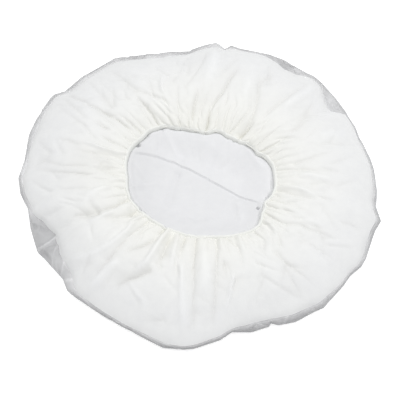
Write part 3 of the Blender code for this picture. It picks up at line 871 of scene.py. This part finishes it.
def crisp(facets, shares=(1.0,)):
    """Heights from -1 to 1 of sharp-edged random facets round the cap, one row for each share."""
    draw = np.random.default_rng(facets.seed)
    breaks = np.sort(draw.uniform(0, 360, facets.count))
    height = draw.uniform(-1, 1, facets.count)
    drift = draw.uniform(-facets.shear, facets.shear, facets.count)
    rows = []
    for share in np.ravel(shares):
        at = (breaks + drift * (1.0 - share)) % 360
        order = np.argsort(at)
        rows.append(np.interp(azimuth, at[order], height[order], period=360))
    return np.array(rows)


def film_points(liner):
    """The film's rows and looks: just outside the liner, then free to its rim, and under to its crown."""
    last = TUCK_ROWS + ANNULUS_ROWS
    without_creases = np.stack([soften(liner[..., axis], 9.0) for axis in range(3)], axis=-1)
    share = film_shares()
    gap = LAYER_GAP + (EDGE_CLEARANCE - LAYER_GAP) * smooth_step(share, *RIM_FADE)
    cling = liner[:last] + grid_normals(without_creases)[:last] * gap[..., None]
    edge = cling[-1]
    edge_reach = np.hypot(edge[:, 0], edge[:, 1])
    part = (np.arange(1, FREE_ROWS + 1) / FREE_ROWS)[:, None]
    rim_height = FILM_RIM_HEIGHT + RIM_STEP_HEIGHT * crisp(RIM_STEPS)[0]
    room = np.clip((film_reach - liner_reach) / CRINKLE_ROOM, *CRINKLE_RANGE)
    wrinkle = (crisp(BROAD_CRINKLES, part) + crisp(FINE_CRINKLES, part) * FINE_HEIGHT) * room
    wrinkle = wrinkle * smooth_step(part, 0.0, 0.4) * (1.0 - 0.6 * smooth_step(part, 0.8, 1.0))
    wrinkle = wrinkle + film_fold(part)
    reach = edge_reach + part * (film_reach - edge_reach)
    free = turned(reach, azimuth, edge[:, 2] + part * (rim_height - edge[:, 2]) + wrinkle)
    turn = turn_points(film_reach, rim_height, FILM_REST, FILM_TURN, FILM_TURN_ROWS)
    under = np.linspace(1.0, 0.01, FILM_UNDER_ROWS)[1:, None]
    lift = UNDER_HEIGHT + UNDER_HEIGHT * crisp(UNDER_CRINKLES, under) * under
    crown = turned((film_reach - FILM_TURN) * under, azimuth, lift)
    return np.concatenate([cling, free, turn, crown]), film_tones(wrinkle, part, len(turn) + len(crown))


def film_shares():
    """How far out each row of the film over the liner is, as a share of the annulus."""
    return np.concatenate([np.zeros(TUCK_ROWS), annulus_shares()])[:, None]


def film_fold(part):
    """The stiff folds of the film where it lies wide of the liner: how high they stand."""
    height = 0.0
    for fold in FILM_FOLDS:
        middle = fold.deg + (fold.rim_deg - fold.deg) * part
        height = height + fold.height * np.exp(-np.abs(between(azimuth, middle) / fold.width) ** 1.5)
    return height


def film_tones(wrinkle, part, rest):
    """How white and how dense the film looks: clear over the liner, greyer where it stands free and under
    the cap, as painted shade and painted reflection.
    """
    smooth = along(SMOOTH_FILM)
    near_side = np.sqrt(near_half)
    at_edge = smooth_step(film_shares(), 0.94, 1.0) * (1.0 - 0.8 * smooth)
    edge_white = FILM_EDGE.white + FILM_EDGE_NEAR.white * near_side
    edge_dense = FILM_EDGE.dense + FILM_EDGE_NEAR.dense * near_side
    over_white = FILM_OVER.white + (edge_white - FILM_OVER.white) * at_edge
    over_dense = FILM_OVER.dense + (edge_dense - FILM_OVER.dense) * at_edge

    # Where the film stands free it turns grey: painted shade and painted reflection
    width = film_reach - liner_reach
    blend = smooth_step(part * width, 0.0, np.minimum(FILM_BLEND * (1.0 - 0.7 * smooth), 0.8 * width))
    folds = film_fold(part)
    # Painted highlights: glinting streaks, and whiter crinkle tops and folds
    streaks = np.clip(crisp(GLINT_STREAKS, part) - GLINT_STREAK_FROM, 0.0, GLINT_STREAK_MOST)
    streaks = streaks * (1.0 - smooth) * smooth_step(part, 0.0, 0.3)
    # The film darkens towards its rim, more on the near side: painted shade
    rim = (RIM_PAINTED_SHADE + RIM_PAINTED_SHADE_NEAR * near_side * (1.0 - smooth)) * smooth_step(part, 0.35, 1.0)
    white = over_white[-1] + (FILM_FREE.white - over_white[-1]) * blend + rim
    white = white + CRINKLE_HIGHLIGHT * wrinkle * (1.0 - 0.85 * smooth) + GLINT_STREAK_WHITE * streaks
    white = white + FOLD_HIGHLIGHT_AND_LAYER.white * folds + sum(along(stretch) for stretch in WHITER_FILM)
    for row in FILM_PLACES:
        white = white + near_place(row.place) * smooth_step(part, row.start, row.full)
    dense = over_dense[-1] + (FILM_FREE.dense - over_dense[-1]) * blend + FOLD_HIGHLIGHT_AND_LAYER.dense * folds

    # Under the cap the film is a darker grey: painted shade
    below = np.ones((rest, COLUMNS))
    white = np.concatenate([over_white, white, below * FILM_UNDER_SHADED_WHITE])
    dense = np.concatenate([over_dense, dense, below * FILM_FREE.dense])
    return {"white": white, "dense": dense}


def mesh_from_rows(name, rows, close_middle=True, close_around=False):
    """A mesh from rows that go round the cap. The last row closes on its middle, or on the first row."""
    count, columns = rows.shape[:2]
    points = rows.reshape(-1, 3) * MM + np.array(POLE)
    index = np.arange(count * columns).reshape(count, columns)
    upper = index if close_around else index[:-1]
    lower = np.roll(index, -1, axis=0) if close_around else index[1:]
    after_upper, after_lower = np.roll(upper, -1, axis=1), np.roll(lower, -1, axis=1)
    quads = np.stack([upper, lower, after_lower, after_upper], axis=-1).reshape(-1, 4)
    faces = [tuple(face) for face in quads.tolist()]
    points = points.tolist()
    if close_middle:
        middle = np.mean([points[i] for i in index[-1]], axis=0)
        points.append(middle.tolist())
        ring = index[-1].tolist()
        faces += [(ring[i], len(points) - 1, ring[(i + 1) % columns]) for i in range(columns)]
    data = bpy.data.meshes.new(name)
    data.from_pydata(points, [], faces)
    data.validate()
    data.shade_smooth()
    return add_object(name, data)


def add_object(name, data):
    made = bpy.data.objects.new(name, data)
    bpy.context.scene.collection.objects.link(made)
    return made


def add_values(data, name, rows):
    """Values for each point of a mesh made from rows, and the last row's mean for its middle point."""
    values = rows.reshape(-1).tolist()
    values += [float(rows[-1].mean())] * (len(data.vertices) - len(values))
    data.attributes.new(name, "FLOAT", "POINT").data.foreach_set("value", values)


def hem_points():
    """The hem's roll round the elastic: a ruffled tube, nipped at each gather."""
    around = np.linspace(0.0, 2 * math.pi, HEM_SIDES, endpoint=False)[:, None]
    nip = np.clip(sum(gather_nip(crease) for crease in creases), 0.0, NIP_MOST)
    ruffle = crisp(HEM_RUFFLES)[0] * (0.6 + 0.4 * far_side)
    half_width = HEM_HALF_WIDTH * (1.0 + NIP.width * nip + RUFFLE.width * ruffle)
    thinner = HEM_THINNER_FAR * far_half
    half_height = HEM_HALF_HEIGHT * (1.0 + NIP.height * nip + RUFFLE.height * ruffle - thinner)
    middle = hem_inner + HEM_HALF_WIDTH + NIP.outwards * nip + RUFFLE.outwards * ruffle
    height = HEM_MIDDLE_HEIGHT + soften(slow_waves(0.0, HEM_WAVES), 1.0) + NIP.up * nip + RUFFLE.up * ruffle
    height = height - HEM_HALF_HEIGHT * thinner
    return turned(middle - half_width * np.cos(around), azimuth, height + half_height * np.sin(around))


def gather_nip(crease):
    """How much a crease that starts at the hem nips its roll."""
    share, start = crease.path[0]
    if share > 0.06:
        return 0.0 * azimuth
    return crease.depth / NIP_FULL_DEPTH * np.exp(-np.abs(between(azimuth, start) / NIP_HALF_WIDTH) ** 1.3)


def principled(name, colour, roughness, alpha=1.0, specular=0.5, glow=0.0):
    """A material, its tree and its Principled shader."""
    made = bpy.data.materials.new(name)
    made.use_nodes = True
    shader = made.node_tree.nodes["Principled BSDF"]
    values = {
        "Base Color": (*colour, 1.0),
        "Roughness": roughness,
        "Alpha": alpha,
        "Specular IOR Level": specular,
        "Emission Color": (*colour, 1.0),
        "Emission Strength": glow,
    }
    for key, value in values.items():
        shader.inputs[key].default_value = value
    return made, made.node_tree, shader


def add_node(tree, kind, inputs, **settings):
    """A shader node with its settings, whose inputs are given as values or as other nodes' outputs."""
    node = tree.nodes.new("ShaderNode" + kind)
    for name, value in settings.items():
        setattr(node, name, value)
    for name, value in inputs.items():
        if isinstance(value, bpy.types.NodeSocket):
            tree.links.new(value, node.inputs[name])
        else:
            node.inputs[name].default_value = value
    return node


def attribute(tree, name):
    """One of the values that the mesh carries."""
    return add_node(tree, "Attribute", {}, attribute_name=name).outputs["Fac"]


def noise(tree, scale, detail, stretch=(1.0, 1.0, 1.0)):
    """A noise texture in the frame's own metres."""
    place = add_node(tree, "TexCoord", {}).outputs["Object"]
    mapped = add_node(tree, "Mapping", {"Vector": place, "Scale": stretch}).outputs["Vector"]
    inputs = {"Vector": mapped, "Scale": scale, "Detail": detail, "Roughness": 0.5}
    return add_node(tree, "TexNoise", inputs).outputs["Fac"]


def bump(tree, shader, height, strength, distance):
    """Fine relief on a shader, over a distance in metres."""
    node = add_node(tree, "Bump", {"Height": height, "Strength": strength, "Distance": distance})
    tree.links.new(node.outputs["Normal"], shader.inputs["Normal"])


def ramp(tree, value, stops):
    """A colour by a value, from pairs of value and colour."""
    node = tree.nodes.new("ShaderNodeValToRGB")
    points = node.color_ramp.elements
    points.remove(points[1])
    while len(points) < len(stops):
        points.new(0.5)
    for point, (place, colour) in zip(points, stops):
        point.position = place
        point.color = (*colour, 1.0)
    tree.links.new(value, node.inputs["Fac"])
    return node.outputs["Color"]


def multiply(tree, first, second):
    inputs = {"Factor": 1.0, "A": first, "B": second}
    return add_node(tree, "Mix", inputs, data_type="RGBA", blend_type="MULTIPLY").outputs["Result"]


def total(tree, first, second, weight):
    """first + weight * second"""
    inputs = {0: second, 1: weight, 2: first}
    return add_node(tree, "Math", inputs, operation="MULTIPLY_ADD").outputs["Value"]


def from_pole(tree):
    """Distance from the middle of the opening as a share of the cap's radius."""
    size = 1.0 / CAP_RADIUS
    place = add_node(tree, "TexCoord", {}).outputs["Object"]
    middle = (-POLE.x * size, -POLE.y * size, 0.0)
    flat = add_node(tree, "Mapping", {"Vector": place, "Location": middle, "Scale": (size, size, 0.0)})
    return add_node(tree, "VectorMath", {0: flat.outputs["Vector"]}, operation="LENGTH").outputs["Value"]


def nonwoven_material(name, stops, glow, shaded=CLOTH_SHADED):
    """White nonwoven: matted fibres over a colour that changes from the hem outwards.

    A little glow stands for the light that comes through the thin cloth.
    """
    made, tree, shader = principled(name, stops[0][1], roughness=0.9, specular=0.2, glow=glow)
    fibres = noise(tree, scale=900.0, detail=4.0, stretch=(1.0, 0.35, 1.0))
    crossing = noise(tree, scale=800.0, detail=4.0, stretch=(0.3, 1.0, 1.0))
    clumps = noise(tree, scale=140.0, detail=3.0)
    matt = total(tree, total(tree, fibres, crossing, weight=1.0), clumps, weight=1.2)
    bump(tree, shader, matt, strength=0.22, distance=0.0004)
    base = ramp(tree, from_pole(tree), stops)
    mottle = ramp(tree, clumps, ((0.25, (0.965, 0.965, 0.97)), (0.7, (1.0, 1.0, 1.0))))
    shade = ramp(tree, attribute(tree, "shade"), ((0.0, (1.0, 1.0, 1.0)), (1.0, shaded)))
    tree.links.new(multiply(tree, multiply(tree, base, mottle), shade), shader.inputs["Base Color"])
    return made


def film_material():
    """Thin translucent film with fine crinkles, as white and as dense as the mesh's own values say."""
    made, tree, shader = principled("film", (0.7, 0.7, 0.71), roughness=0.32, alpha=0.3)
    crinkle = noise(tree, scale=150.0, detail=4.0)
    bump(tree, shader, crinkle, strength=0.18, distance=0.0006)
    # The crinkle noise also whitens the film where it stands high, as painted highlight
    white = total(tree, attribute(tree, "white"), crinkle, weight=0.08)
    tints = ((0.04, (0.0, 0.0, 0.008)), (1.04, (0.98, 0.985, 1.0)))
    tree.links.new(ramp(tree, white, tints), shader.inputs["Base Color"])
    tree.links.new(attribute(tree, "dense"), shader.inputs["Alpha"])
    return made


def floor_material():
    made, _, shader = principled("floor", (0.95, 0.95, 0.95), roughness=0.7, glow=0.45)
    shader.inputs["Emission Color"].default_value = (1.0, 1.0, 1.0, 1.0)
    return made


def elastic_material():
    """Covered elastic: fine bumps over the cord."""
    made, tree, shader = principled("elastic", (0.80, 0.80, 0.77), roughness=0.7)
    bump(tree, shader, noise(tree, scale=1500.0, detail=2.0), strength=0.4, distance=0.0003)
    return made


def make_pieces():
    """The liner, the film and the hem, and the carried-over elastic's material."""
    liner_rows = liner_points()
    film_rows, film_looks = film_points(liner_rows)

    liner = mesh_from_rows("liner_bag", liner_rows)
    liner.data.set_sharp_from_angle(angle=math.radians(SHARP_ANGLE))
    annulus_stops = ((0.36, WARM), (0.55, MILD), (0.80, COOL))
    liner.data.materials.append(nonwoven_material("nonwoven_annulus", annulus_stops, glow=0.05))
    # The crown's darker grey is painted shade inside the opening, and its stronger glow painted light
    crown = nonwoven_material("nonwoven_crown", ((0.0, SHADED_CROWN_GREY),), glow=0.10, shaded=CROWN_SHADED)
    liner.data.materials.append(crown)
    crown_from = (TUCK_ROWS + ANNULUS_ROWS + TURN_ROWS) * COLUMNS
    for face in liner.data.polygons:
        face.material_index = 1 if face.index >= crown_from else 0
    shade = crown_shade(liner_rows)
    annulus = slice(TUCK_ROWS, TUCK_ROWS + ANNULUS_ROWS)
    shade[annulus] = cloth_shade(liner_rows[annulus])
    add_values(liner.data, "shade", shade)

    film = mesh_from_rows("film_bag", film_rows)
    film.data.materials.append(film_material())
    for name, values in film_looks.items():
        add_values(film.data, name, values)

    hem = mesh_from_rows("hem_roll", hem_points(), close_middle=False, close_around=True)
    hem.data.materials.append(nonwoven_material("hem_cloth", ((0.0, PALE),), glow=0.08))

    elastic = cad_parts["elastic_cord"]
    elastic.data.materials.clear()
    elastic.data.materials.append(elastic_material())
    return liner, film, hem


def add_stage():
    """A wide plain floor."""
    data = bpy.data.meshes.new("floor")
    half = FLOOR_HALF
    corners = [(-half, -half, 0.0), (half, -half, 0.0), (half, half, 0.0), (-half, half, 0.0)]
    data.from_pydata(corners, [], [(0, 1, 2, 3)])
    data.materials.append(floor_material())
    add_object("floor", data)


def add_lights():
    """One large soft light overhead, and a plain white surround."""
    world = bpy.data.worlds.new("studio")
    world.use_nodes = True
    background = world.node_tree.nodes["Background"]
    background.inputs["Color"].default_value = (1.0, 1.0, 1.0, 1.0)
    background.inputs["Strength"].default_value = SURROUND
    bpy.context.scene.world = world
    bpy.context.scene.view_settings.view_transform = "Standard"
    data = bpy.data.lights.new("key", "AREA")
    data.shape = "SQUARE"
    data.size = KEY_SIZE
    data.energy = KEY_POWER
    light = add_object("key", data)
    light.location = KEY_PLACE
    light.rotation_euler = (-KEY_PLACE).to_track_quat("-Z", "Y").to_euler()


def add_camera():
    """The photograph's camera, level and aimed down at the cap."""
    data = bpy.data.cameras.new("camera")
    data.lens = CAMERA_LENS
    data.sensor_width = 36.0
    data.clip_start = 0.01
    rise = math.radians(CAMERA_ELEVATION)
    forward = Vector((0.0, math.cos(rise), -math.sin(rise)))
    camera = add_object("camera", data)
    camera.location = CAMERA_TARGET - forward * CAMERA_DISTANCE
    camera.rotation_euler = forward.to_track_quat("-Z", "Y").to_euler()
    bpy.context.scene.camera = camera


add_camera()
add_lights()
add_stage()
liner, film, hem = make_pieces()

for piece, node, slot in (
    (film, "outer_film", "film"),
    (liner, "nonwoven_liner", "nonwoven"),
    (hem, "hem_casing", "hem"),
):
    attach(piece, "root")
    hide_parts(node)
